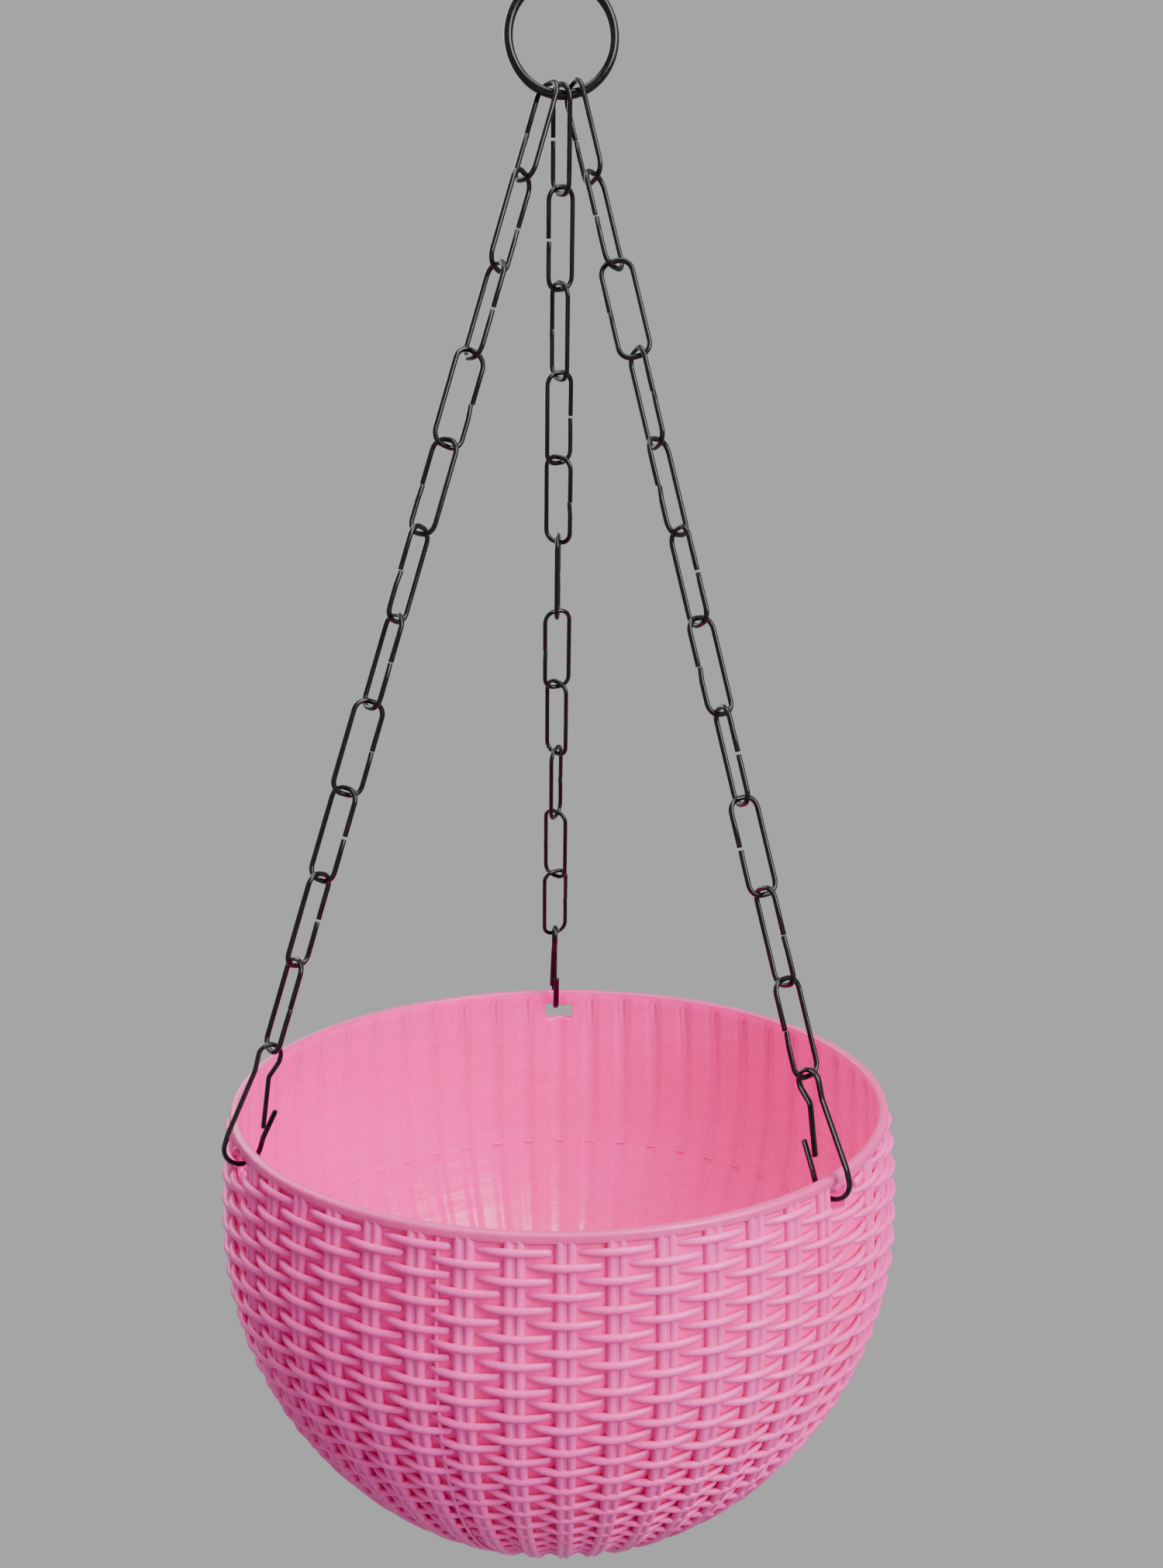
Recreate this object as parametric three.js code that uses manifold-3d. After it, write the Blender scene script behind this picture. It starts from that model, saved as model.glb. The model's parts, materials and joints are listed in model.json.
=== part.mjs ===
// Hanging basket: a moulded woven-look plastic basket on three wire chains that meet at a hanging ring.
// Millimetres, +Z up. The origin is the inside top of the ring, where a hook bears.
// Azimuths are degrees about +Z from +X, so the front of the basket is at 270.
import * as THREE from 'three';
import { mergeVertices } from 'three/addons/utils/BufferGeometryUtils.js';
import Module from 'manifold-3d';

const wasm = await Module();
wasm.setup();

// Hanging ring
const RING_OUTER_DIAMETER = 31;
const RING_WIRE = 2.5;
const RING_STEPS = 36;
const WIRE_SIDES = 8;

// Chain links
const LINK_COUNT = 11;
const LINK_WIRE = 1.45;
const LINK_LENGTH = 28;
const LINK_WIDTH = 10;
const LINK_BUTT_GAP = 0.5;
const ARC_STEPS = 6;

// Spring clips
const CLIP_THICKNESS = 1.3;
const CLIP_WIDTH = 2.1;
const CLIP_LEG_OFFSET = 0.7;
const CLIP_EYE_WIDTH = 7.4;
const CLIP_WAIST_GAP = 2.4;
const CLIP_WAIST_DROP = 5;
const CLIP_BOTTOM_WIDTH = 11.6;
const CLIP_LENGTH = 36.4;
const CLIP_INNER_END_RISE = 7.4;
const CLIP_RETURN_END_RISE = 11.4;
const CLIP_RETURN_LEAN = 1.2;
const EYE_START = 225;
const EYE_STEPS = 8;

// Basket
const RIM_RADIUS = 100;
const RIM_WIDTH = 2.8;
const RIM_ROUNDING = 0.9;
const LIP_HEIGHT = 2.6;
const BASKET_HEIGHT = 128.5;
const BULGE = 3.8;
const BULGE_DROP = 37;
const WALL_AND_WEAVE = 5.6;
const BASE_RADIUS = 46;
const BASE_THICKNESS = 2.5;
const BOWL_FULLNESS = 1.93;
const BOWL_POLE_SHARE = 0.2;
const BASKET_STEPS = 100;
const UPPER_STEPS = 4;
const BOWL_STEPS = 10;

// Weave pitch, which also places the three chain slots
const STAKE_COUNT = 50;
const FIRST_STAKE_AZIMUTH = 268.75;
const SLOT_WIDTH = 10;
const SLOT_HEIGHT = 6;
const SLOT_TOP_DROP = 5;
const SLOT_CUT_WALLS = 4;

// Drain holes in the flat base
const DRAIN_COUNT = 5;
const DRAIN_DIAMETER = 6;
const DRAIN_CIRCLE_RADIUS = 28;
const DRAIN_SIDES = 16;

// Running clearance between wires that bear on each other
const CONTACT_GAP = 0.3;
const RING_CONTACT_GAP = 0.5;
const CLIP_CONTACT_GAP = 0.42;
const CUT_MARGIN = 1;
const MERGE_DISTANCE = 1e-4;

// Each chain: where it sits on the ring, its slot's place in stakes, how far along the slot its clip
// rests, and the roll of each link about the chain's line from the plane of the ring, in degrees.
const CHAINS = [
  {
    name: 'left',
    ringOffset: -3.8,
    slotStake: -9,
    clipOffset: 1,
    rolls: [126, 58, -58, 30, 142, -120, -57, 28, -37, 57, -58],
  },
  {
    name: 'rear',
    ringOffset: 0,
    slotStake: -25,
    clipOffset: 1.8,
    rolls: [120, -143, 120, 33, -32, 85, -158, -44, 66, 142, 25],
  },
  {
    name: 'right',
    ringOffset: 3.4,
    slotStake: 6.5,
    clipOffset: -1.5,
    rolls: [120, -124, 175, -68, -131, -62, -144, -72, -153, -63, -144],
  },
];

const PINK_PLASTIC = new THREE.MeshStandardMaterial({ color: 0xdf74ac, roughness: 0.42, metalness: 0 });
const BLACK_PAINT = new THREE.MeshStandardMaterial({ color: 0x1a1416, roughness: 0.32, metalness: 0.25 });

// Worked-out sizes
const ringRadius = (RING_OUTER_DIAMETER - RING_WIRE) / 2;
const ringCentreZ = RING_WIRE / 2 - ringRadius;
const linkCrownRadius = (LINK_WIDTH - LINK_WIRE) / 2;
const linkLine = LINK_LENGTH - LINK_WIRE;
const eyeRadius = (CLIP_EYE_WIDTH - CLIP_THICKNESS) / 2;
const clipBottomRadius = (CLIP_BOTTOM_WIDTH - CLIP_THICKNESS) / 2;
const clipWaist = (CLIP_WAIST_GAP + CLIP_THICKNESS) / 2;
const clipEyeRise = CLIP_LENGTH - CLIP_THICKNESS - clipBottomRadius;
const eyeCentreRise = clipEyeRise - eyeRadius;

const radians = THREE.MathUtils.degToRad;

// Height of the ring's lower wire at a sideways offset from its middle.
function ringWireZ(offset) {
  return ringCentreZ - Math.sqrt(ringRadius ** 2 - offset ** 2);
}

// A wire's centreline through given stations, sampled exactly at them.
class WirePath extends THREE.Curve {
  constructor(stations) {
    super();
    this.stations = stations;
  }

  getPoint(t) {
    const last = this.stations.length - 1;
    return this.stations[Math.round(t * last)].clone();
  }

  getPointAt(u) {
    return this.getPoint(u);
  }

  getTangentAt(u) {
    const last = this.stations.length - 1;
    const here = Math.round(u * last);
    const before = this.stations[Math.max(here - 1, 0)];
    const after = this.stations[Math.min(here + 1, last)];
    const middle = this.stations[here];
    const tangent = new THREE.Vector3();
    if (here > 0) tangent.add(middle.clone().sub(before).normalize());
    if (here < last) tangent.add(after.clone().sub(middle).normalize());
    return tangent.normalize();
  }
}

// A wire swept along stations in the XZ plane: its thickness in that plane, its width across it.
function wireGeometry(stations, thickness, width = thickness) {
  const section = new THREE.Shape();
  for (let side = 0; side < WIRE_SIDES; side += 1) {
    const angle = (side + 0.5) * 2 * Math.PI / WIRE_SIDES;
    const x = Math.cos(angle) * width / 2;
    const y = Math.sin(angle) * thickness / 2;
    if (side === 0) section.moveTo(x, y);
    else section.lineTo(x, y);
  }
  section.closePath();
  return new THREE.ExtrudeGeometry(section, {
    steps: stations.length - 1,
    extrudePath: new WirePath(stations),
  });
}

// Points along an arc in the XZ plane, from one angle to another.
function arcStations(centreX, centreZ, radius, fromDegrees, toDegrees, steps) {
  const stations = [];
  for (let step = 0; step <= steps; step += 1) {
    const angle = radians(fromDegrees + (toDegrees - fromDegrees) * step / steps);
    const x = centreX + radius * Math.cos(angle);
    const z = centreZ + radius * Math.sin(angle);
    stations.push(new THREE.Vector3(x, 0, z));
  }
  return stations;
}

// A stadium-shaped link in the XZ plane, centred, its butt joint halfway down one leg.
function linkGeometry() {
  const crownRise = linkLine / 2 - linkCrownRadius;
  return wireGeometry([
    new THREE.Vector3(linkCrownRadius, 0, LINK_BUTT_GAP / 2),
    ...arcStations(0, crownRise, linkCrownRadius, 0, 180, ARC_STEPS),
    ...arcStations(0, -crownRise, linkCrownRadius, 180, 360, ARC_STEPS),
    new THREE.Vector3(linkCrownRadius, 0, -LINK_BUTT_GAP / 2),
  ], LINK_WIRE);
}

// A spring clip of flattened wire in the XZ plane, +X outwards: an eye at the top, a waist, and a
// wide loop round the rim whose centre is the origin. Its two ends pass each other inside the basket.
function clipGeometry() {
  const waistRise = eyeCentreRise - CLIP_WAIST_DROP;
  const flareRise = (waistRise + CLIP_INNER_END_RISE) / 2;
  const flareOut = (clipWaist + clipBottomRadius) / 2;
  const innerEndOut = clipBottomRadius - CLIP_RETURN_LEAN;
  const shoulderRise = clipBottomRadius;
  const bottom = arcStations(0, 0, clipBottomRadius, 0, -180, ARC_STEPS);
  bottom[ARC_STEPS].y = -CLIP_LEG_OFFSET;
  return wireGeometry([
    new THREE.Vector3(-innerEndOut, CLIP_LEG_OFFSET, CLIP_INNER_END_RISE),
    new THREE.Vector3(-flareOut, CLIP_LEG_OFFSET, flareRise),
    new THREE.Vector3(-clipWaist, 0, waistRise),
    ...arcStations(0, eyeCentreRise, eyeRadius, EYE_START, 180 - EYE_START, EYE_STEPS),
    new THREE.Vector3(clipWaist, 0, waistRise),
    new THREE.Vector3(flareOut, 0, flareRise),
    new THREE.Vector3(clipBottomRadius, 0, shoulderRise / 2),
    ...bottom,
    new THREE.Vector3(-clipBottomRadius, -CLIP_LEG_OFFSET, shoulderRise),
    new THREE.Vector3(-clipBottomRadius - CLIP_RETURN_LEAN, -CLIP_LEG_OFFSET, CLIP_RETURN_END_RISE),
  ], CLIP_THICKNESS, CLIP_WIDTH);
}

// Outer radius of the basket at a depth below the rim, over the crests of the weave.
function upperRadius(drop) {
  return RIM_RADIUS + BULGE * Math.sin(Math.min(drop / BULGE_DROP, 1) * Math.PI / 2);
}

// Below the bulge both faces are a quarter of a superellipse, cut off by the flat base.
function bowlPoints(topRadius, bottomRadius, bottomDrop) {
  const points = [];
  const start = bottomRadius * BOWL_POLE_SHARE;
  const reach = (bottomRadius - start) / (topRadius - start);
  const endAngle = Math.acos(reach ** (BOWL_FULLNESS / 2));
  const fall = (bottomDrop - BULGE_DROP) / Math.sin(endAngle) ** (2 / BOWL_FULLNESS);
  for (let step = 0; step <= BOWL_STEPS; step += 1) {
    const angle = endAngle * step / BOWL_STEPS;
    const radius = start + (topRadius - start) * Math.cos(angle) ** (2 / BOWL_FULLNESS);
    const drop = BULGE_DROP + fall * Math.sin(angle) ** (2 / BOWL_FULLNESS);
    points.push(new THREE.Vector2(radius, -drop));
  }
  return points;
}

function basketProfile() {
  const rimInner = RIM_RADIUS - RIM_WIDTH;
  const outer = [
    new THREE.Vector2(RIM_RADIUS - RIM_ROUNDING, 0),
    new THREE.Vector2(RIM_RADIUS, -RIM_ROUNDING),
    new THREE.Vector2(RIM_RADIUS, -LIP_HEIGHT),
  ];
  for (let step = 1; step < UPPER_STEPS; step += 1) {
    const drop = LIP_HEIGHT + (BULGE_DROP - LIP_HEIGHT) * step / UPPER_STEPS;
    outer.push(new THREE.Vector2(upperRadius(drop), -drop));
  }
  outer.push(...bowlPoints(RIM_RADIUS + BULGE, BASE_RADIUS, BASKET_HEIGHT));
  outer.push(new THREE.Vector2(0, -BASKET_HEIGHT));
  const inner = [
    new THREE.Vector2(rimInner + RIM_ROUNDING, 0),
    new THREE.Vector2(rimInner, -RIM_ROUNDING),
  ];
  const innerBulge = RIM_RADIUS + BULGE - WALL_AND_WEAVE;
  const innerBase = BASE_RADIUS - BASE_THICKNESS;
  const innerDrop = BASKET_HEIGHT - BASE_THICKNESS;
  inner.push(...bowlPoints(innerBulge, innerBase, innerDrop));
  inner.push(new THREE.Vector2(0, -innerDrop));
  return [...outer.reverse(), ...inner];
}

function toSolid(geometry) {
  const plain = geometry.clone();
  plain.deleteAttribute('normal');
  plain.deleteAttribute('uv');
  const merged = mergeVertices(plain, MERGE_DISTANCE);
  const vertProperties = new Float32Array(merged.attributes.position.array);
  const triVerts = new Uint32Array(merged.index.array);
  const mesh = new wasm.Mesh({ numProp: 3, vertProperties, triVerts });
  return new wasm.Manifold(mesh);
}

function toGeometry(solid) {
  const mesh = solid.getMesh();
  const geometry = new THREE.BufferGeometry();
  const positions = new Float32Array(mesh.vertProperties);
  geometry.setAttribute('position', new THREE.BufferAttribute(positions, 3));
  geometry.setIndex(new THREE.BufferAttribute(new Uint32Array(mesh.triVerts), 1));
  const flat = geometry.toNonIndexed();
  flat.computeVertexNormals();
  return flat;
}

function slotAzimuth(chain) {
  return FIRST_STAKE_AZIMUTH + chain.slotStake * 360 / STAKE_COUNT;
}

// The basket hangs from its rim, with the rim's top face at z = 0 here.
function basketGeometry() {
  const shell = new THREE.LatheGeometry(basketProfile(), BASKET_STEPS).rotateX(Math.PI / 2);
  let solid = toSolid(shell);
  for (const chain of CHAINS) {
    const depth = WALL_AND_WEAVE * SLOT_CUT_WALLS;
    const cut = new THREE.BoxGeometry(depth, SLOT_WIDTH, SLOT_HEIGHT);
    cut.translate(RIM_RADIUS, 0, -SLOT_TOP_DROP - SLOT_HEIGHT / 2);
    cut.rotateZ(radians(slotAzimuth(chain)));
    solid = solid.subtract(toSolid(cut));
  }
  for (let hole = 0; hole < DRAIN_COUNT; hole += 1) {
    const height = BASE_THICKNESS + 2 * CUT_MARGIN;
    const cut = new THREE.CylinderGeometry(DRAIN_DIAMETER / 2, DRAIN_DIAMETER / 2, height, DRAIN_SIDES);
    cut.rotateX(Math.PI / 2);
    cut.translate(DRAIN_CIRCLE_RADIUS, 0, -BASKET_HEIGHT + BASE_THICKNESS / 2);
    cut.rotateZ(hole * 2 * Math.PI / DRAIN_COUNT);
    solid = solid.subtract(toSolid(cut));
  }
  return toGeometry(solid);
}

// The clip's loop hangs the bridge over the slot: both lower edges of the bridge bear inside it.
function clipSeat() {
  const bridgeInner = RIM_RADIUS - RIM_WIDTH;
  const bridgeOuter = upperRadius(SLOT_TOP_DROP);
  const halfBridge = (bridgeOuter - bridgeInner) / 2;
  const bearing = clipBottomRadius - CLIP_THICKNESS / 2 - CONTACT_GAP;
  return {
    radius: (bridgeInner + bridgeOuter) / 2,
    drop: SLOT_TOP_DROP - Math.sqrt(bearing ** 2 - halfBridge ** 2),
  };
}

// Distance along a chain from the ring's wire to the centre of the clip's loop.
const ringStep = (RING_WIRE + LINK_WIRE) / 2 + RING_CONTACT_GAP;
const linkStep = linkLine - LINK_WIRE - CONTACT_GAP;
const clipStep = (LINK_WIRE + CLIP_THICKNESS) / 2 + CLIP_CONTACT_GAP;
const chainReach = (LINK_COUNT - 1) * linkStep + linkLine - ringStep - clipStep + clipEyeRise;
const seat = clipSeat();
const rimZ = ringWireZ(0) - Math.sqrt(chainReach ** 2 - seat.radius ** 2) + seat.drop;

function seatPoint(chain) {
  const along = new THREE.Vector3(seat.radius, chain.clipOffset, rimZ - seat.drop);
  return along.applyAxisAngle(new THREE.Vector3(0, 0, 1), radians(slotAzimuth(chain)));
}

// A group at a point of the chain's line, +Z up the line and XZ in the plane of a sideways direction.
function placeOnLine(mesh, point, up, sideways) {
  const across = new THREE.Vector3().crossVectors(up, sideways).normalize();
  const along = new THREE.Vector3().crossVectors(across, up);
  mesh.quaternion.setFromRotationMatrix(new THREE.Matrix4().makeBasis(along, across, up));
  mesh.position.copy(point);
}

function chainGroup(chain) {
  const group = new THREE.Group();
  const start = new THREE.Vector3(chain.ringOffset, 0, ringWireZ(chain.ringOffset));
  const end = seatPoint(chain);
  const up = start.clone().sub(end).normalize();
  // The three chains meet at slightly different places on the ring, so the slack differs a little.
  const slack = (start.distanceTo(end) - chainReach) / (LINK_COUNT + 1);
  const inPlane = new THREE.Vector3().crossVectors(new THREE.Vector3(0, 1, 0), up).normalize();
  for (let index = 0; index < LINK_COUNT; index += 1) {
    const distance = linkLine / 2 - ringStep + slack + index * (linkStep + slack);
    const mesh = new THREE.Mesh(linkGeometry(), BLACK_PAINT);
    mesh.name = `${chain.name}_link_${String(index + 1).padStart(2, '0')}`;
    const sideways = inPlane.clone().applyAxisAngle(up, radians(chain.rolls[index]));
    placeOnLine(mesh, start.clone().addScaledVector(up, -distance), up, sideways);
    group.add(mesh);
  }
  const clip = new THREE.Mesh(clipGeometry(), BLACK_PAINT);
  clip.name = `${chain.name}_clip`;
  const azimuth = radians(slotAzimuth(chain));
  const outwards = new THREE.Vector3(Math.cos(azimuth), Math.sin(azimuth), 0);
  placeOnLine(clip, end, up, outwards);
  group.add(clip);
  return group;
}

function hangingRing() {
  const geometry = new THREE.TorusGeometry(ringRadius, RING_WIRE / 2, WIRE_SIDES, RING_STEPS);
  geometry.rotateX(Math.PI / 2);
  const mesh = new THREE.Mesh(geometry, BLACK_PAINT);
  mesh.name = 'hanging_ring';
  mesh.position.z = ringCentreZ;
  return mesh;
}

function basket() {
  const mesh = new THREE.Mesh(basketGeometry(), PINK_PLASTIC);
  mesh.name = 'basket';
  mesh.position.z = rimZ;
  return mesh;
}

const hangingBasket = new THREE.Group();
hangingBasket.add(hangingRing(), basket(), ...CHAINS.map(chainGroup));

export default hangingBasket;
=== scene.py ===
import json
import math

import bpy
from mathutils import Matrix, Vector


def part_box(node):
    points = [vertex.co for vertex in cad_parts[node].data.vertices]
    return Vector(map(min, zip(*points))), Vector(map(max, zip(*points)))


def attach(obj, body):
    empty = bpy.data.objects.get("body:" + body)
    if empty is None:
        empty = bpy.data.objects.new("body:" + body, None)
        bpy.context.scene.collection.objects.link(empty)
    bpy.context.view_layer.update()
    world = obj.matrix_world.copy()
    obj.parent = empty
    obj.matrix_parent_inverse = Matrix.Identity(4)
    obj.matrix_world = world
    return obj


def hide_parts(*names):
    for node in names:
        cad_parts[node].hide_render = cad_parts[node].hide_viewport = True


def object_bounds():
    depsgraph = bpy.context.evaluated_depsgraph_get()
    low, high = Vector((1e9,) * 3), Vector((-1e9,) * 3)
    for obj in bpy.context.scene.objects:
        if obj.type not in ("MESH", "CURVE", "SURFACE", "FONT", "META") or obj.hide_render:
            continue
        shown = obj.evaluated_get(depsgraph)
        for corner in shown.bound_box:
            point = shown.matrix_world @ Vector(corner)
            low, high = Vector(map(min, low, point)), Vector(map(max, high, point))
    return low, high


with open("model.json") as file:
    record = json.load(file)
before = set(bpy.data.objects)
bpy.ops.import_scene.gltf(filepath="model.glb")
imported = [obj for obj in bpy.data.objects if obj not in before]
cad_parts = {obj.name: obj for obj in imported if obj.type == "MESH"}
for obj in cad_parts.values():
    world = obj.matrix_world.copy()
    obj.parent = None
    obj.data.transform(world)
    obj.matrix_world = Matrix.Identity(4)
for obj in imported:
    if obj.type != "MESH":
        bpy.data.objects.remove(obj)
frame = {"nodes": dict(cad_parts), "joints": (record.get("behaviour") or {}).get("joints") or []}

# Hanging basket: a moulded pink basket with a woven face, three black wire chains, three spring
# clips and the ring they hang from. Sizes are millimetres unless a note says otherwise, and MM
# turns them into metres.

cad_low, cad_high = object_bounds()
MM = 0.001
Y_AXIS, Z_AXIS = Vector((0, 1, 0)), Vector((0, 0, 1))
joint_of = {joint["child"]: joint for joint in frame["joints"]}

# Basket, as depths below the rim and lengths down its face
RIM_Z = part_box("basket")[1].z / MM
DEPTH = (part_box("basket")[1].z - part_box("basket")[0].z) / MM
RIM_RADIUS = 100.0
LIP_HEIGHT = 2.6
BULGE = 3.8
BULGE_DROP = 37.0
BULGE_SHARPNESS = 0.6
BULGE_STEPS = 75
BASE_RADIUS = 46.0
BOWL_FULLNESS = 1.93
BOWL_START = 0.2
BOWL_STEPS = 240
FOOT_WIDTH = 2.6
FOOT_HEIGHT = 0.9
FLOOR_THICKNESS = 2.4
# The wall's thickness, and how much thinner it gets at the rim and at the base
WALL, WALL_LESS_AT_RIM, WALL_LESS_AT_BASE, WALL_RIM_REACH = 2.2, 0.9, 0.5, 15
EDGES_PER_STAKE = 9
# Inside grooves: half their width in degrees, their depth, and where they stop
GROOVE_EDGE, GROOVE_DEPTH = 0.9, 0.9
GROOVE_TOP_DROP, GROOVE_FOOT_RISE = 3.4, 9
TICK_LENGTH_DOWN = 62
TICK_RUN, TICK_TAPER, TICK_THICKNESS = 2.8, 0.5, 0.6
DRAIN_COUNT, DRAIN_DIAMETER, DRAIN_CIRCLE_RADIUS = 5, 6, 28
# The shell's materials, in their order: the ground's, whose deeper pink is painted shade, the
# inside's and the lip's
GROUND_SHADE, INSIDE, LIP = 0, 1, 2

# Weave
STAKE_COUNT = 50
STAKE_STEP = 360 / STAKE_COUNT
FIRST_STAKE_AZIMUTH = 268.75
ROW_START = 4.9
ROW_PITCH = 3.66
ROW_COUNT = 39
UPPER_ROW_COUNT = 20
# The weave's height over the ground, and how much lower it gets at the rim and at the base
WEAVE_HEIGHT, WEAVE_LESS_AT_RIM, WEAVE_LESS_AT_BASE, WEAVE_RIM_REACH = 2.75, 0.8, 1.3, 6
# Each stake is two ribs, so many degrees to each side of a narrower web
RIB_WIDTH = 2.6
WEB_WIDTH = 1.7
RIB_SPREAD = 0.8
SEAM_WIDTH = 1.1
UPRIGHT_TOP, UPRIGHT_FOOT, UPRIGHT_RUNS = 1.6, 1.5, 14
# Each slot's stake, and the place across it of the point in its upper edge
SLOTS = ((-25, -1.25), (-9, -1.25), (6.5, 1.25))
SLOT_WIDTH, SLOT_HEIGHT, SLOT_DROP = 10.0, 6.0, 5.0
SLOT_COLUMNS = 8
SLOT_POINT, SLOT_POINT_FLANK = 1.2, 0.5
SLOT_HUMP, SLOT_HUMP_FLANK = 0.5, 0.35
SLOT_CLEARING = 0.9
PARTING_AZIMUTHS = (250.5, 70.5)

# Wires
LINK_WIRE, LINK_LENGTH, LINK_WIDTH, LINK_CORNER = 1.45, 28.0, 10.0, 3.4
# How each link's butt joint came out: g a gap, s a step between the ends, f nearly closed. Each
# kind has its gap, its step outwards and its step across.
JOINT_KINDS = {"left": "sggssssfggf", "rear": "ggfgsffffff", "right": "ggffsgsggss"}
JOINTS = {"g": (0.75, 0.08, 0.05), "s": (0.22, 0.38, 0.1), "f": (0.14, 0.06, 0.12)}
# How far each clip's inner leg stands in from its loop, and how far its hook end leans in
CLIP_LEANS = {"left": (1.3, 0.8), "rear": (1.3, 0.6), "right": (0.9, 0.0)}
CLIP_THICKNESS, CLIP_WIDTH = 1.3, 2.1
# Cut ends are slimmer over a short length: link ends, then clip ends
CHAMFER_LENGTH = 0.12
LINK_END_SIZE, CLIP_END_SIZE = 0.9, 0.94
# Heights over its joint between which a link's or a clip's wire shows which way it faces
LINK_BAND, CLIP_BAND = (-1, 1), (1.8, 3.3)
RING_WIRE, RING_DIAMETER = 2.5, 31.0
RING_JOINT_TILT, RING_TURN, RING_STEPS = 75, 359, 108

# Stage, in metres and degrees
FLOOR_SIZE, FLOOR_FORWARD, FLOOR_DROP = 1, 1.2, 0.09
LIT_POINT = (0, 0, -0.3)
CAMERA_PLACE = (-0.01277, -0.40064, -0.15544)
CAMERA_PAN, CAMERA_TILT, CAMERA_ROLL = -3.75, -11.75, -0.39


# ---------------------------------------------------------------- tools

def deselect():
    for other in list(bpy.context.selected_objects):
        other.select_set(False)


def pick(obj):
    deselect()
    obj.select_set(True)
    bpy.context.view_layer.objects.active = obj


def added(name):
    """Names the primitive just added and puts its place in its mesh."""
    obj = bpy.context.active_object
    pick(obj)
    bpy.ops.object.transform_apply(location=True, rotation=True, scale=True)
    obj.name = name
    obj.data.name = name
    return obj


def edit(obj, everything=True):
    pick(obj)
    bpy.ops.object.mode_set(mode="EDIT")
    bpy.ops.mesh.select_all(action="SELECT" if everything else "DESELECT")


def finish_edit(obj, smooth_angle=40):
    bpy.ops.mesh.select_all(action="SELECT")
    bpy.ops.mesh.normals_make_consistent(inside=False)
    bpy.ops.object.mode_set(mode="OBJECT")
    pick(obj)
    bpy.ops.object.shade_smooth_by_angle(angle=math.radians(smooth_angle))


def copied(obj, name, matrix):
    other = obj.copy()
    other.data = obj.data.copy()
    other.name = name
    other.data.name = name
    other.data.transform(matrix)
    bpy.context.scene.collection.objects.link(other)
    return other


def joined(parts, name):
    deselect()
    for part in parts:
        part.select_set(True)
    bpy.context.view_layer.objects.active = parts[0]
    bpy.ops.object.join()
    parts[0].name = name
    parts[0].data.name = name
    return parts[0]


def cut(obj, cutter):
    pick(obj)
    modifier = obj.modifiers.new("cut", "BOOLEAN")
    modifier.operation = "DIFFERENCE"
    modifier.solver = "EXACT"
    modifier.object = cutter
    bpy.ops.object.modifier_apply(modifier=modifier.name)


def drop(*objects):
    for obj in objects:
        bpy.data.objects.remove(obj)


def turn_about_z(degrees):
    return Matrix.Rotation(math.radians(degrees), 4, "Z")


class Wire:
    """A wire drawn from a circle: straight runs are extruded and bends are spun."""

    def __init__(self, name, start, heading, diameter, sides=12):
        self.name = name
        self.point = Vector(start)
        self.heading = Vector(heading).normalized()
        bpy.ops.mesh.primitive_circle_add(
            vertices=sides, radius=diameter / 2 * MM, location=self.point * MM,
            rotation=self.heading.to_track_quat("Z", "Y").to_euler())
        self.obj = added(name)
        edit(self.obj)

    def straight(self, length):
        if length > 1e-4:
            step = self.heading * length
            bpy.ops.mesh.extrude_region_move(TRANSFORM_OT_translate={"value": step * MM})
            self.point = self.point + step

    def bend(self, centre, axis, angle, steps):
        bpy.ops.mesh.spin(steps=steps, angle=-angle, center=centre * MM, axis=axis)
        turn = Matrix.Rotation(angle, 3, axis)
        self.point = centre + turn @ (self.point - centre)
        self.heading = turn @ self.heading

    def through(self, corners, radii, steps):
        """Runs on through corners, each rounded to its radius, and ends at the last one."""
        for here, after, radius in zip(corners, corners[1:], radii):
            here, after = Vector(here), Vector(after)
            onward = (after - here).normalized()
            angle = self.heading.angle(onward)
            if angle < 0.002:
                self.straight((here - self.point).length)
                continue
            setback = radius * math.tan(angle / 2)
            axis = self.heading.cross(onward).normalized()
            self.straight((here - self.point).length - setback)
            self.bend(self.point + axis.cross(self.heading) * radius, axis, angle, steps)
        self.straight((Vector(corners[-1]) - self.point).length)

    def swell(self, factor):
        bpy.ops.transform.resize(value=(factor,) * 3, center_override=self.point * MM)

    def finish(self, smooth_angle=40):
        bpy.ops.mesh.select_all(action="SELECT")
        bpy.ops.mesh.fill_holes(sides=0)
        finish_edit(self.obj, smooth_angle)
        return self.obj


def turned(name, profile, edges, turn):
    """A turned shell: a circle, turned by so many degrees, then extruded and resized along a
    profile of (radius, z), and closed at both poles."""
    radius, z = profile[0]
    bpy.ops.mesh.primitive_circle_add(vertices=edges, radius=radius * MM, location=(0, 0, z * MM),
                                      rotation=(0, 0, math.radians(turn)))
    obj = added(name)
    edit(obj)
    bpy.ops.mesh.extrude_region_move(TRANSFORM_OT_translate={"value": (0, 0, 0)})
    bpy.ops.mesh.merge(type="CENTER")
    bpy.ops.object.mode_set(mode="OBJECT")
    edit(obj, everything=False)
    bpy.ops.object.mode_set(mode="OBJECT")
    for vertex in obj.data.vertices:
        vertex.select = math.hypot(vertex.co.x, vertex.co.y) > radius * MM * 0.5
    bpy.ops.object.mode_set(mode="EDIT")
    for next_radius, next_z in profile[1:]:
        bpy.ops.mesh.extrude_region_move(
            TRANSFORM_OT_translate={"value": (0, 0, (next_z - z) * MM)})
        scale = next_radius / radius
        bpy.ops.transform.resize(value=(scale, scale, 1), center_override=(0, 0, next_z * MM))
        radius, z = next_radius, next_z
    bpy.ops.mesh.extrude_region_move(TRANSFORM_OT_translate={"value": (0, 0, 0)})
    bpy.ops.mesh.merge(type="CENTER")
    finish_edit(obj, 35)
    return obj


# ---------------------------------------------------------------- finishes

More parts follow.
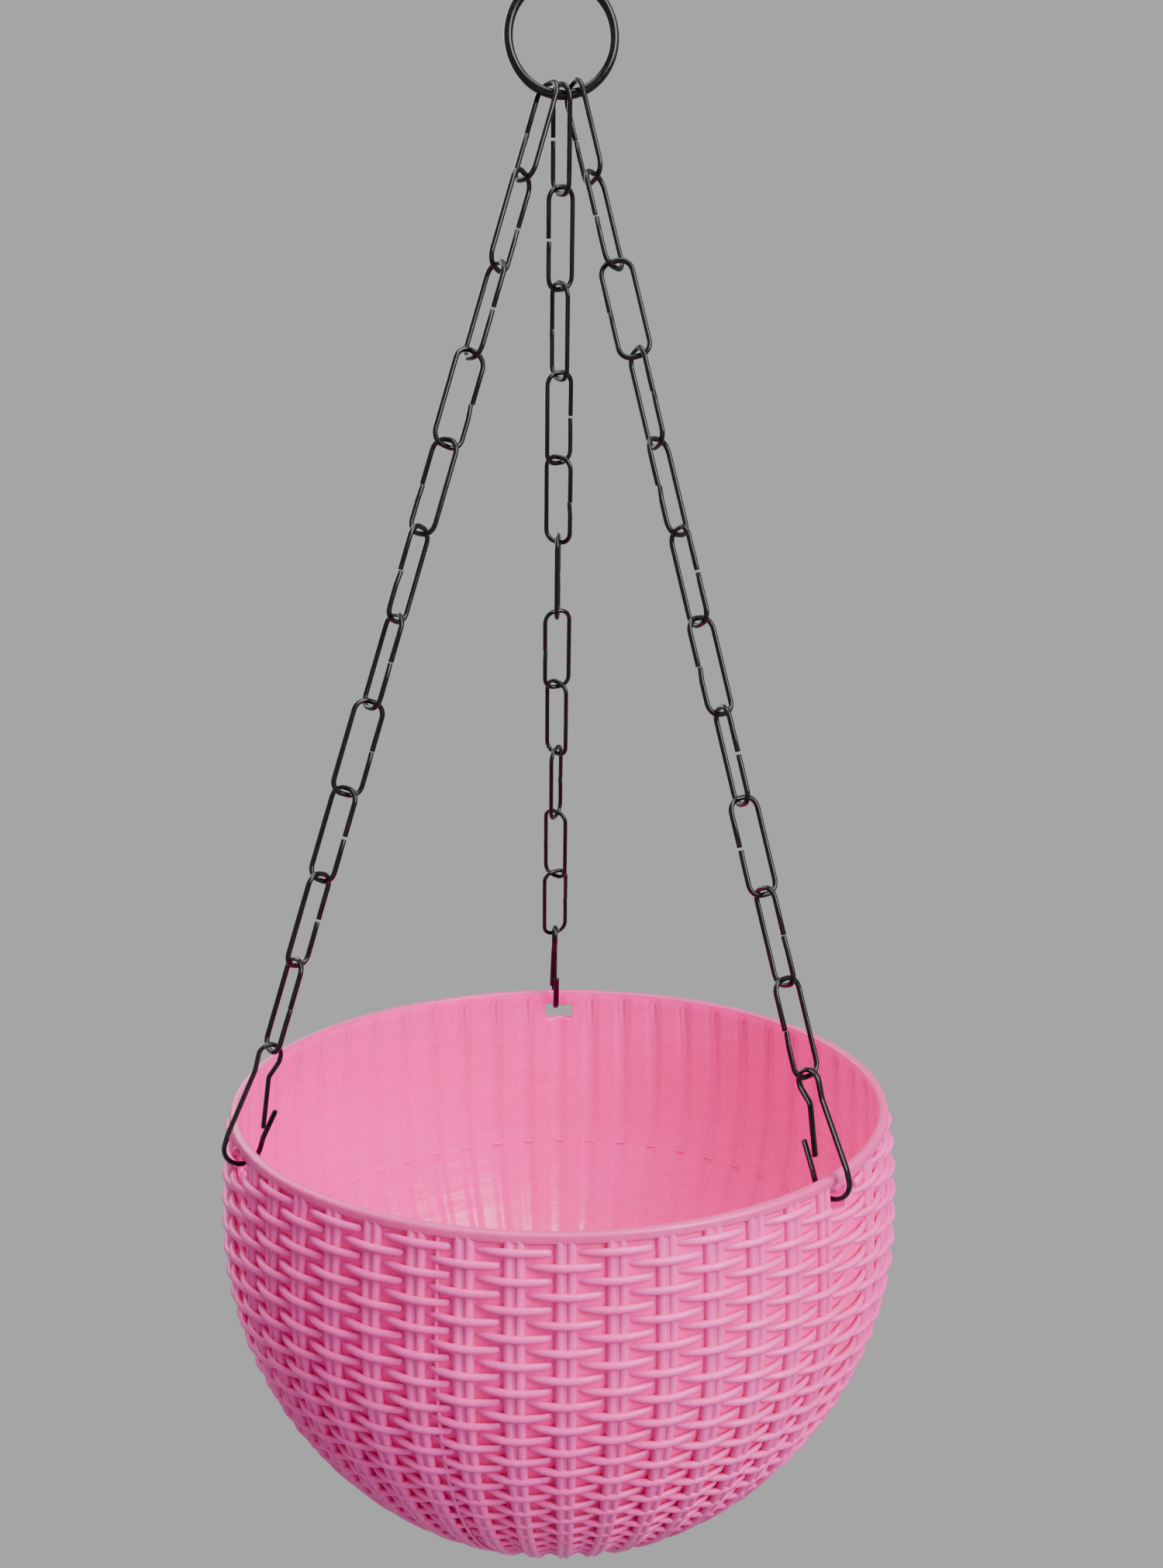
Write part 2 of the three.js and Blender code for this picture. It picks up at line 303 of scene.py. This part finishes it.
def linear(red, green, blue):
    """A colour given as 0 to 255 on screen, as the shader wants it."""
    steps = [value / 255 for value in (red, green, blue)]
    return tuple(v / 12.92 if v <= 0.04045 else ((v + 0.055) / 1.055) ** 2.4 for v in steps) + (1,)


def finish_named(name):
    material = bpy.data.materials.new(name)
    material.use_nodes = True
    nodes, links = material.node_tree.nodes, material.node_tree.links
    return material, nodes, links, nodes["Principled BSDF"]


def noise(nodes, links, scale, detail, stretch=(1, 1, 1), roughness=0.5):
    place = nodes.new("ShaderNodeTexCoord")
    mapping = nodes.new("ShaderNodeMapping")
    mapping.inputs["Scale"].default_value = stretch
    texture = nodes.new("ShaderNodeTexNoise")
    texture.inputs["Scale"].default_value = scale
    texture.inputs["Detail"].default_value = detail
    texture.inputs["Roughness"].default_value = roughness
    links.new(place.outputs["Object"], mapping.inputs["Vector"])
    links.new(mapping.outputs["Vector"], texture.inputs["Vector"])
    return texture.outputs["Fac"]


def spread(nodes, links, source, low, high, from_low=0.3, from_high=0.7):
    """Maps a noise to a range of values."""
    node = nodes.new("ShaderNodeMapRange")
    node.inputs["From Min"].default_value = from_low
    node.inputs["From Max"].default_value = from_high
    node.inputs["To Min"].default_value = low
    node.inputs["To Max"].default_value = high
    links.new(source, node.inputs["Value"])
    return node.outputs["Result"]


def blend_colours(nodes, links, factor, first, second):
    node = nodes.new("ShaderNodeMix")
    node.data_type = "RGBA"
    for socket, value in ((node.inputs[6], first), (node.inputs[7], second)):
        if isinstance(value, tuple):
            socket.default_value = value
        else:
            links.new(value, socket)
    links.new(factor, node.inputs[0])
    return node.outputs[2]


def relief(nodes, links, height, distance, strength, under=None):
    node = nodes.new("ShaderNodeBump")
    node.inputs["Strength"].default_value = strength
    node.inputs["Distance"].default_value = distance
    links.new(height, node.inputs["Height"])
    if under is not None:
        links.new(under, node.inputs["Normal"])
    return node.outputs["Normal"]


def pink_plastic(name, main, deep, pale, roughness, ripple):
    """Moulded plastic: cloudy pigment, faint scuffs, moulding grain, and ripples where it is
    smooth."""
    material, nodes, links, shader = finish_named(name)
    cloud = spread(nodes, links, noise(nodes, links, 26, 3), 0, 1)
    speckle = spread(nodes, links, noise(nodes, links, 420, 4), 0, 0.35)
    tone = blend_colours(nodes, links, cloud, main, deep)
    tone = blend_colours(nodes, links, speckle, tone, pale)
    links.new(tone, shader.inputs["Base Color"])
    scuff = noise(nodes, links, 140, 5, (1, 1, 0.35))
    links.new(spread(nodes, links, scuff, roughness - 0.07, roughness + 0.1),
              shader.inputs["Roughness"])
    grain = relief(nodes, links, noise(nodes, links, 1500, 2), 0.00004, 0.5)
    ripples = noise(nodes, links, 80, 2, (0.35, 0.35, 2.2))
    wave = relief(nodes, links, ripples, 0.0006, ripple, grain)
    links.new(wave, shader.inputs["Normal"])
    shader.inputs["IOR"].default_value = 1.49
    shader.inputs["Subsurface Weight"].default_value = 0.2
    shader.inputs["Subsurface Radius"].default_value = (1.0, 0.35, 0.6)
    shader.inputs["Subsurface Scale"].default_value = 0.004
    return material


def black_paint():
    """Glossy black paint on steel wire, with orange peel, dust specks and a little rubbed steel."""
    material, nodes, links, shader = finish_named("black paint")
    cloud = spread(nodes, links, noise(nodes, links, 220, 4), 0, 1)
    tone = blend_colours(nodes, links, cloud, linear(4, 2, 3), linear(12, 8, 10))
    rubbed = spread(nodes, links, noise(nodes, links, 900, 5, (1, 1, 1), 0.7), 0, 0.7, 0.73, 0.78)
    tone = blend_colours(nodes, links, rubbed, tone, linear(120, 112, 112))
    links.new(tone, shader.inputs["Base Color"])
    links.new(spread(nodes, links, noise(nodes, links, 600, 4), 0.16, 0.32),
              shader.inputs["Roughness"])
    peel = relief(nodes, links, noise(nodes, links, 900, 3), 0.00005, 0.35)
    links.new(peel, shader.inputs["Normal"])
    shader.inputs["IOR"].default_value = 1.5
    shader.inputs["Specular IOR Level"].default_value = 0.3
    shader.inputs["Coat Weight"].default_value = 0.06
    shader.inputs["Coat Roughness"].default_value = 0.08
    return material


# One pink plastic in four copies: the weave's paler pink is painted light on the raised strands,
# ribs and seams, and the ground's deeper, more saturated pink is painted shade in the recesses
# between them
weave_lit_pink = pink_plastic("pink plastic, weave, painted light", linear(240, 72, 168), linear(235, 56, 156),
                          linear(245, 104, 186), 0.42, 0.06)
ground_shade_pink = pink_plastic("pink plastic, ground, painted shade", linear(250, 40, 166), linear(247, 26, 154),
                           linear(252, 72, 186), 0.44, 0.1)
inside_pink = pink_plastic("pink plastic, inside", linear(249, 40, 172), linear(246, 26, 160),
                           linear(251, 72, 190), 0.24, 0.7)
lip_pink = pink_plastic("pink plastic, lip", linear(214, 56, 138), linear(206, 44, 128),
                        linear(226, 86, 160), 0.38, 0.1)
wire_black = black_paint()


def wear(obj, material):
    obj.data.materials.clear()
    obj.data.materials.append(material)


# ---------------------------------------------------------------- basket profile

def face_line():
    """The line over the crests of the weave, from the rim down, as (radius, drop) points."""
    points = []
    for step in range(BULGE_STEPS):
        depth = BULGE_DROP * step / BULGE_STEPS
        bulge = BULGE * math.sin(depth / BULGE_DROP * math.pi / 2) ** BULGE_SHARPNESS
        points.append(Vector((RIM_RADIUS + bulge, -depth)))
    start = BASE_RADIUS * BOWL_START
    top = RIM_RADIUS + BULGE
    reach = (BASE_RADIUS - start) / (top - start)
    end_angle = math.acos(reach ** (BOWL_FULLNESS / 2))
    fall = (DEPTH - BULGE_DROP) / math.sin(end_angle) ** (2 / BOWL_FULLNESS)
    for step in range(BOWL_STEPS + 1):
        angle = end_angle * step / BOWL_STEPS
        points.append(Vector((start + (top - start) * math.cos(angle) ** (2 / BOWL_FULLNESS),
                              -BULGE_DROP - fall * math.sin(angle) ** (2 / BOWL_FULLNESS))))
    return points


crest_line = face_line()
crest_lengths = [0.0]
for before, after in zip(crest_line, crest_line[1:]):
    crest_lengths.append(crest_lengths[-1] + (after - before).length)
FACE_LENGTH = crest_lengths[-1]


def crest(length):
    """The crest point, and the outward normal there, at a length down the face."""
    length = min(max(length, 0.0), FACE_LENGTH - 1e-6)
    index = max(i for i, reached in enumerate(crest_lengths[:-1]) if reached <= length)
    part = (length - crest_lengths[index]) / (crest_lengths[index + 1] - crest_lengths[index])
    point = crest_line[index].lerp(crest_line[index + 1], part)
    low, high = max(index - 4, 0), min(index + 5, len(crest_line) - 1)
    along = (crest_line[high] - crest_line[low]).normalized()
    return point, Vector((-along.y, along.x))


def weave_height(length):
    return (WEAVE_HEIGHT - WEAVE_LESS_AT_RIM * math.exp(-length / WEAVE_RIM_REACH)
            - WEAVE_LESS_AT_BASE * (length / FACE_LENGTH) ** 3)


def wall(length):
    return (WALL - WALL_LESS_AT_RIM * math.exp(-length / WALL_RIM_REACH)
            - WALL_LESS_AT_BASE * (length / FACE_LENGTH) ** 3)


def on_face(length, above_ground):
    """A point (radius, z) on the basket's face, so far above the ground between the strands."""
    point, normal = crest(length)
    place = point + normal * (above_ground - weave_height(length))
    return place.x, place.y + RIM_Z


def on_inside(length, off_wall=0.0):
    return on_face(length, -wall(length) - off_wall)


# ---------------------------------------------------------------- basket shell

def basket_shell():
    """The wall, its lip, its floor and its foot ring, as one turned piece."""
    top, base, foot = RIM_Z, RIM_Z - DEPTH, BASE_RADIUS - FOOT_WIDTH
    outer = [(2, base + FOOT_HEIGHT), (20, base + FOOT_HEIGHT), (foot - 0.4, base + FOOT_HEIGHT),
             (foot, base + 0.15), (foot + 0.2, base), (BASE_RADIUS - 0.3, base),
             (BASE_RADIUS, base + 0.2)]
    lengths = [FACE_LENGTH * (1 - step / 46) for step in range(45)]
    outer += [on_face(length, 0) for length in lengths if length < FACE_LENGTH - 1]
    lip = [(RIM_RADIUS - 1.3, top - LIP_HEIGHT - 0.5), (RIM_RADIUS - 0.25, top - LIP_HEIGHT - 0.1),
           (RIM_RADIUS, top - LIP_HEIGHT + 0.2), (RIM_RADIUS, top - 0.9),
           (RIM_RADIUS - 0.15, top - 0.45), (RIM_RADIUS - 0.5, top - 0.12),
           (RIM_RADIUS - 0.95, top), (RIM_RADIUS - 1.9, top), (RIM_RADIUS - 2.3, top - 0.12),
           (RIM_RADIUS - 2.65, top - 0.45), (RIM_RADIUS - 2.8, top - 0.9)]
    inner = [on_inside(length) for length in (4, 8, *range(12, 139, 6), 143)]
    floor = base + FLOOR_THICKNESS
    inner += [(BASE_RADIUS - 3, floor + 0.3), (BASE_RADIUS - 6, floor), (20, floor), (2, floor)]
    return turned("basket_shell", outer + lip + inner, STAKE_COUNT * EDGES_PER_STAKE,
                  FIRST_STAKE_AZIMUTH - 90)


def colour_sides(obj):
    """The lip, the inside and the ground between the strands each get their own copy of the pink:
    the ground's deeper, more saturated pink is painted shade in the recesses between the strands,
    the lip's is a darker tone and the inside's is glossier.
    """
    for material in (ground_shade_pink, inside_pink, lip_pink):
        obj.data.materials.append(material)
    for face in obj.data.polygons:
        outwards = Vector((face.center.x, face.center.y)).normalized()
        facing = face.normal.x * outwards.x + face.normal.y * outwards.y
        on_lip = face.center.z > (RIM_Z - LIP_HEIGHT - 0.4) * MM and facing > -0.95
        on_floor = face.normal.z > 0.5 and face.center.z < (RIM_Z - 60) * MM
        if on_lip:
            face.material_index = LIP
        else:
            face.material_index = INSIDE if facing < -0.05 or on_floor else GROUND_SHADE


def sink_grooves(obj):
    """Behind every stake the inside wall has a shallow upright groove."""
    wall_points = set()
    for face in obj.data.polygons:
        if face.material_index == INSIDE:
            wall_points.update(face.vertices)
    edit(obj, everything=False)
    bpy.ops.object.mode_set(mode="OBJECT")
    for index in wall_points:
        point = obj.data.vertices[index].co
        azimuth = math.degrees(math.atan2(point.y, point.x)) - FIRST_STAKE_AZIMUTH
        off_stake = abs((azimuth + STAKE_STEP / 2) % STAKE_STEP - STAKE_STEP / 2)
        on_wall = (RIM_Z - DEPTH + GROOVE_FOOT_RISE) * MM < point.z < (RIM_Z - GROOVE_TOP_DROP) * MM
        obj.data.vertices[index].select = on_wall and off_stake < GROOVE_EDGE
    bpy.ops.object.mode_set(mode="EDIT")
    growth = 1 + GROOVE_DEPTH / RIM_RADIUS
    bpy.ops.transform.resize(value=(growth, growth, 1), center_override=(0, 0, 0))
    bpy.ops.object.mode_set(mode="OBJECT")


def relief_cutter(stake):
    """A block that clears the weave above and beside a slot, as the mould does."""
    middle = RIM_Z - SLOT_DROP - SLOT_HEIGHT / 2
    bpy.ops.mesh.primitive_cube_add(
        size=1,
        location=((RIM_RADIUS + 5) * MM, SLOT_CLEARING * MM, (middle + SLOT_CLEARING) * MM),
        scale=(15 * MM, (SLOT_WIDTH + 2 * SLOT_CLEARING) * MM,
               (SLOT_HEIGHT + 2 * SLOT_CLEARING) * MM))
    obj = added("relief_cutter")
    obj.data.transform(turn_about_z(FIRST_STAKE_AZIMUTH + stake * STAKE_STEP))
    return obj


def slot_cutter(stake, point):
    """A slot through the wall. Its upper edge has a point hanging down beside the clip, and its
    lower edge a low hump."""
    middle = RIM_Z - SLOT_DROP - SLOT_HEIGHT / 2
    bpy.ops.mesh.primitive_cube_add(size=1, location=(RIM_RADIUS * MM, 0, middle * MM),
                                    scale=(22 * MM, SLOT_WIDTH * MM, SLOT_HEIGHT * MM))
    obj = added("slot_cutter")
    edit(obj)
    bpy.ops.mesh.subdivide(number_cuts=SLOT_COLUMNS - 1)
    top, low = (middle + SLOT_HEIGHT / 2) * MM, (middle - SLOT_HEIGHT / 2) * MM
    column = SLOT_WIDTH / SLOT_COLUMNS
    for edge, place, rise in ((top, point, -SLOT_POINT), (top, 2 * point, -SLOT_POINT_FLANK),
                              (low, 0.0, SLOT_HUMP), (low, column, SLOT_HUMP_FLANK),
                              (low, -column, SLOT_HUMP_FLANK)):
        bpy.ops.mesh.select_all(action="DESELECT")
        bpy.ops.object.mode_set(mode="OBJECT")
        for vertex in obj.data.vertices:
            vertex.select = abs(vertex.co.z - edge) < 1e-5 and abs(vertex.co.y - place * MM) < 1e-4
        bpy.ops.object.mode_set(mode="EDIT")
        bpy.ops.transform.translate(value=(0, 0, rise * MM))
    finish_edit(obj)
    obj.data.transform(turn_about_z(FIRST_STAKE_AZIMUTH + stake * STAKE_STEP))
    return obj


def drain_cutter(index):
    bpy.ops.mesh.primitive_cylinder_add(
        vertices=32, radius=DRAIN_DIAMETER / 2 * MM, depth=8 * MM,
        location=(DRAIN_CIRCLE_RADIUS * MM, 0, (RIM_Z - DEPTH + 1) * MM))
    obj = added("drain_cutter")
    obj.data.transform(turn_about_z(index * 360 / DRAIN_COUNT))
    return obj


shell = basket_shell()
colour_sides(shell)
sink_grooves(shell)


# ---------------------------------------------------------------- weave

def upright(name, low, high, above_ground, width, sides, count):
    """One upright down the face, in the XZ plane, narrowing as the basket does. Each of its runs
    starts with one bend and goes straight on from there."""
    lengths = [low + (high - low) * step / count for step in range(count + 1)]
    corners = [on_face(length, above_ground) for length in lengths]
    corners = [Vector((radius, 0, z)) for radius, z in corners]
    wire = Wire(name, corners[0], corners[1] - corners[0], width, sides)
    for here, after in zip(corners, corners[1:]):
        onward = (after - here).normalized()
        angle = wire.heading.angle(onward)
        if angle > 1e-4:
            axis = wire.heading.cross(onward).normalized()
            reach = 0.3 * (after - here).length
            radius = reach / math.tan(angle / 2)
            wire.bend(wire.point + axis.cross(wire.heading) * radius, axis, angle, 1)
        wire.straight((after - wire.point).length * 0.75)
        wire.swell(after.x / here.x)
    wire.straight(0.4)
    return wire.finish(60)


def tick():
    """A low mark across an inside groove, where the mould's core halves met."""
    radius, z = on_inside(TICK_LENGTH_DOWN, -TICK_THICKNESS / 2)
    wire = Wire("tick", (radius, -TICK_RUN / 2 - TICK_TAPER, z), Y_AXIS, TICK_THICKNESS, 8)
    wire.swell(0.5)
    wire.straight(TICK_TAPER)
    wire.swell(2)
    wire.straight(TICK_RUN)
    wire.straight(TICK_TAPER)
    wire.swell(0.5)
    return wire.finish(60)


def strand():
    """One strand over a stake, for the rim's radius: X along the row, Y into the wall, Z up the
    face. Its path is a line of places (x, y), each with the strand's thickness there."""
    path = [(-9.7, 0.9), (-8.3, 0.0), (-5.6, -0.95), (-2.4, -1.65), (0.8, -1.85), (3.8, -1.6),
            (6.6, -1.0), (8.6, -0.45), (9.25, -0.15)]
    sizes = [1.3, 1.75, 2.05, 2.2, 2.25, 2.2, 2.1, 2.0, 1.2]
    corners = [Vector((x, y + x * x / (2 * RIM_RADIUS), 0)) for x, y in path]
    wire = Wire("strand", corners[0], corners[2] - corners[0], sizes[0], 8)
    for index in range(1, len(corners)):
        step = corners[index] - wire.point
        bpy.ops.mesh.extrude_region_move(TRANSFORM_OT_translate={"value": step * MM})
        wire.point = corners[index]
        wire.swell(sizes[index] / sizes[index - 1])
    return wire.finish(70)


def strand_place(row, stake):
    length = ROW_START + row * ROW_PITCH
    radius, z = on_face(length, 0)
    normal = crest(length)[1]
    slim = 0.6 + 0.4 * radius / RIM_RADIUS
    azimuth = math.radians(FIRST_STAKE_AZIMUTH + stake * STAKE_STEP)
    out = Vector((math.cos(azimuth), math.sin(azimuth), 0))
    along = Vector((-out.y, out.x, 0))
    inwards = -(out * normal.x + Z_AXIS * normal.y)
    up = along.cross(inwards)
    lift = weave_height(length) / WEAVE_HEIGHT
    axes = Matrix((along * radius / RIM_RADIUS, inwards * lift, up * slim)).transposed().to_4x4()
    return Matrix.Translation((out * radius + Z_AXIS * z) * MM) @ axes


model_strand = strand()
upper_rows, lower_rows = [], []
for row in range(ROW_COUNT):
    for stake in range(STAKE_COUNT):
        if (row + stake) % 2 == 1:
            made = copied(model_strand, "strand_copy", strand_place(row, stake))
            (upper_rows if row < UPPER_ROW_COUNT else lower_rows).append(made)
drop(model_strand)
upper_strands = joined(upper_rows, "upper_strands")
lower_strands = joined(lower_rows, "lower_strands")

model_rib = upright("rib", UPRIGHT_TOP, FACE_LENGTH - UPRIGHT_FOOT, 0.15, RIB_WIDTH, 8,
                    UPRIGHT_RUNS)
model_web = upright("web", UPRIGHT_TOP, FACE_LENGTH - UPRIGHT_FOOT, 0.2, WEB_WIDTH, 6,
                    UPRIGHT_RUNS)
ribs = joined([copied(model, "rib_copy",
                      turn_about_z(FIRST_STAKE_AZIMUTH + stake * STAKE_STEP + side * RIB_SPREAD))
               for stake in range(STAKE_COUNT)
               for side, model in ((-1, model_rib), (0, model_web), (1, model_rib))], "stake_ribs")
model_tick = tick()
ticks = joined([copied(model_tick, "tick_copy",
                       turn_about_z(FIRST_STAKE_AZIMUTH + stake * STAKE_STEP))
                for stake in range(STAKE_COUNT)], "inside_ticks")
model_seam = upright("seam", UPRIGHT_TOP, FACE_LENGTH - 2, 0.45, SEAM_WIDTH, 6, UPRIGHT_RUNS)
seams = joined([copied(model_seam, "seam_copy", turn_about_z(azimuth))
                for azimuth in PARTING_AZIMUTHS], "parting_lines")
drop(model_rib, model_web, model_tick, model_seam)

for stake, point in SLOTS:
    cutter = slot_cutter(stake, point)
    cut(shell, cutter)
    clearing = relief_cutter(stake)
    for piece in (upper_strands, ribs):
        cut(piece, clearing)
    drop(cutter, clearing)
for index in range(DRAIN_COUNT):
    cutter = drain_cutter(index)
    cut(shell, cutter)
    drop(cutter)

# The raised weave wears the paler pink, which is painted light
for piece in (upper_strands, lower_strands, ribs, seams):
    wear(piece, weave_lit_pink)
wear(ticks, inside_pink)
for piece in (shell, upper_strands, lower_strands, ribs, ticks, seams):
    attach(piece, "basket")
    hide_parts("basket")


# ---------------------------------------------------------------- ring, links and clips

def hanging_ring():
    """The ring, bent from one wire, its butt joint near the top."""
    centre = Vector((0, 0, RING_WIRE - RING_DIAMETER / 2))
    radius = (RING_DIAMETER - RING_WIRE) / 2
    tilt = math.radians(RING_JOINT_TILT)
    out = Vector((math.cos(tilt), 0, math.sin(tilt)))
    heading = Y_AXIS.cross(out)
    wire = Wire("hanging_ring_wire", centre + out * radius, heading, RING_WIRE, 18)
    wire.bend(centre, Y_AXIS, math.radians(RING_TURN), RING_STEPS)
    return wire.finish()


def link(gap, step_out, step_across):
    """A link bent from one wire in the XZ plane, its butt joint halfway down the +X leg."""
    side = (LINK_WIDTH - LINK_WIRE) / 2
    end = (LINK_LENGTH - LINK_WIRE) / 2
    wire = Wire("link", (side, 0, gap / 2), Z_AXIS, LINK_WIRE * LINK_END_SIZE, 12)
    wire.straight(CHAMFER_LENGTH)
    wire.swell(1 / LINK_END_SIZE)
    wire.through([(side, 0, end), (-side, 0, end), (-side, 0, -end), (side, 0, -end),
                  (side, 0, -gap / 2 - 4)], [LINK_CORNER] * 4, 6)
    wire.straight(1e-3)
    last = Vector((side - step_out, step_across, -gap / 2 - CHAMFER_LENGTH)) - wire.point
    bpy.ops.mesh.extrude_region_move(TRANSFORM_OT_translate={"value": last * MM})
    wire.point = wire.point + last
    wire.straight(CHAMFER_LENGTH)
    wire.swell(LINK_END_SIZE)
    return wire.finish()


def clip(inset, lean):
    """A spring clip of flattened wire in the XZ plane, +X outwards, its loop round the rim centred
    on the origin."""
    start = Vector((inset - 5.15, 0.7, 6.4))
    waist = (-1.5, 0.2, 20.8)
    wire = Wire("clip", start, Vector(waist) - start, CLIP_THICKNESS * CLIP_END_SIZE, 12)
    bpy.ops.transform.resize(value=(1, CLIP_WIDTH / CLIP_THICKNESS, 1), center_override=start * MM)
    wire.straight(CHAMFER_LENGTH)
    wire.swell(1 / CLIP_END_SIZE)
    wire.through([waist, (-3.2, 0, 25.4), (-3.2, 0, 29.95), (3.2, 0, 29.95),
                  (2.7, 0, 21.9), (5.15, 0, 2.6), (5.15, -0.2, -5.15), (-5.15, -0.65, -5.15),
                  (-5.15, -0.7, 3.4), (-5.6 - lean, -0.7, 11.2)],
                 [2.6, 2.8, 3.1, 3.1, 3.4, 6, 4.95, 4.95, 6], 6)
    wire.straight(0.2)
    wire.swell(0.7)
    return wire.finish()


def place_on_chain(node, low, high):
    """A node's place: its joint's point and line, turned to the wire found between two heights."""
    joint = joint_of[node]
    origin, up = Vector(joint["pos_m"]), Vector(joint["axis"]).normalized()
    sideways = Vector((0, 0, 0))
    for vertex in frame["nodes"][node].data.vertices:
        offset = vertex.co - origin
        rise = offset.dot(up)
        if low * MM < rise < high * MM:
            sideways += offset - up * rise
    across = up.cross(sideways).normalized()
    along = across.cross(up)
    turn = Matrix((along, across, up)).transposed().to_4x4()
    return Matrix.Translation(origin) @ turn


def dressed(piece, node):
    wear(piece, wire_black)
    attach(piece, node if node in joint_of else "ring")
    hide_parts(node)


dressed(hanging_ring(), "hanging_ring")
model_links = {kind: link(*sizes) for kind, sizes in JOINTS.items()}
for chain, kinds in JOINT_KINDS.items():
    for number, kind in enumerate(kinds, 1):
        node = f"{chain}_link_{number:02d}"
        place = place_on_chain(node, *LINK_BAND)
        dressed(copied(model_links[kind], node + "_wire", place), node)
    node = f"{chain}_clip"
    model_clip = clip(*CLIP_LEANS[chain])
    dressed(copied(model_clip, node + "_wire", place_on_chain(node, *CLIP_BAND)), node)
    drop(model_clip)
drop(*model_links.values())


# ---------------------------------------------------------------- stage, camera and light

def backdrop():
    """A pale square of floor, below the basket and in front of it, in a plain room."""
    bpy.ops.mesh.primitive_plane_add(
        size=FLOOR_SIZE, location=(0, -FLOOR_FORWARD, cad_low.z - FLOOR_DROP))
    obj = added("backdrop")
    material, nodes, links, shader = finish_named("pale backdrop")
    fine = spread(nodes, links, noise(nodes, links, 60, 3), 0, 1)
    links.new(blend_colours(nodes, links, fine, linear(222, 219, 216), linear(227, 224, 221)),
              shader.inputs["Base Color"])
    shader.inputs["Roughness"].default_value = 0.8
    wear(obj, material)


def soft_light(name, place, target, size, watts, colour):
    data = bpy.data.lights.new(name, "AREA")
    data.shape = "RECTANGLE"
    data.size, data.size_y = size
    data.energy = watts
    data.color = colour
    lamp = bpy.data.objects.new(name, data)
    bpy.context.scene.collection.objects.link(lamp)
    lamp.location = place
    lamp.visible_camera = False
    lamp.rotation_euler = (Vector(target) - Vector(place)).to_track_quat("-Z", "Y").to_euler()


backdrop()
# Each light's place and size in metres, its watts and its colour
for light, place, size, watts, colour in (
        ("window", (0.9, -0.9, 0.5), (0.9, 1.2), 44, (1, 0.985, 0.97)),
        ("overhead", (0.0, -0.2, 1.0), (1.2, 1.0), 19, (1, 0.99, 0.98)),
        ("left side", (-1.1, -0.7, 0.1), (0.8, 1.2), 1, (0.97, 0.98, 1)),
        ("behind", (-0.55, 0.7, 0.2), (0.8, 0.8), 7, (1, 0.99, 0.98))):
    soft_light(light, place, LIT_POINT, size, watts, colour)
world = bpy.data.worlds.new("room")
world.use_nodes = True
world.node_tree.nodes["Background"].inputs["Color"].default_value = (0.9, 0.9, 0.92, 1)
world.node_tree.nodes["Background"].inputs["Strength"].default_value = 0.5
bpy.context.scene.world = world

camera_data = bpy.data.cameras.new("camera")
camera_data.sensor_width = 36
camera_data.lens = 31.13
camera_data.shift_x = -0.0157
camera_data.shift_y = 0.0499
camera_data.clip_start = 0.02
camera = bpy.data.objects.new("camera", camera_data)
bpy.context.scene.collection.objects.link(camera)
camera.location = CAMERA_PLACE
turn = (Matrix.Rotation(math.radians(CAMERA_PAN), 3, "Z")
        @ Matrix.Rotation(math.radians(CAMERA_TILT), 3, "X")
        @ Matrix.Rotation(math.radians(CAMERA_ROLL), 3, "Y")
        @ Matrix.Rotation(math.radians(90), 3, "X"))
camera.rotation_euler = turn.to_euler()
bpy.context.scene.camera = camera
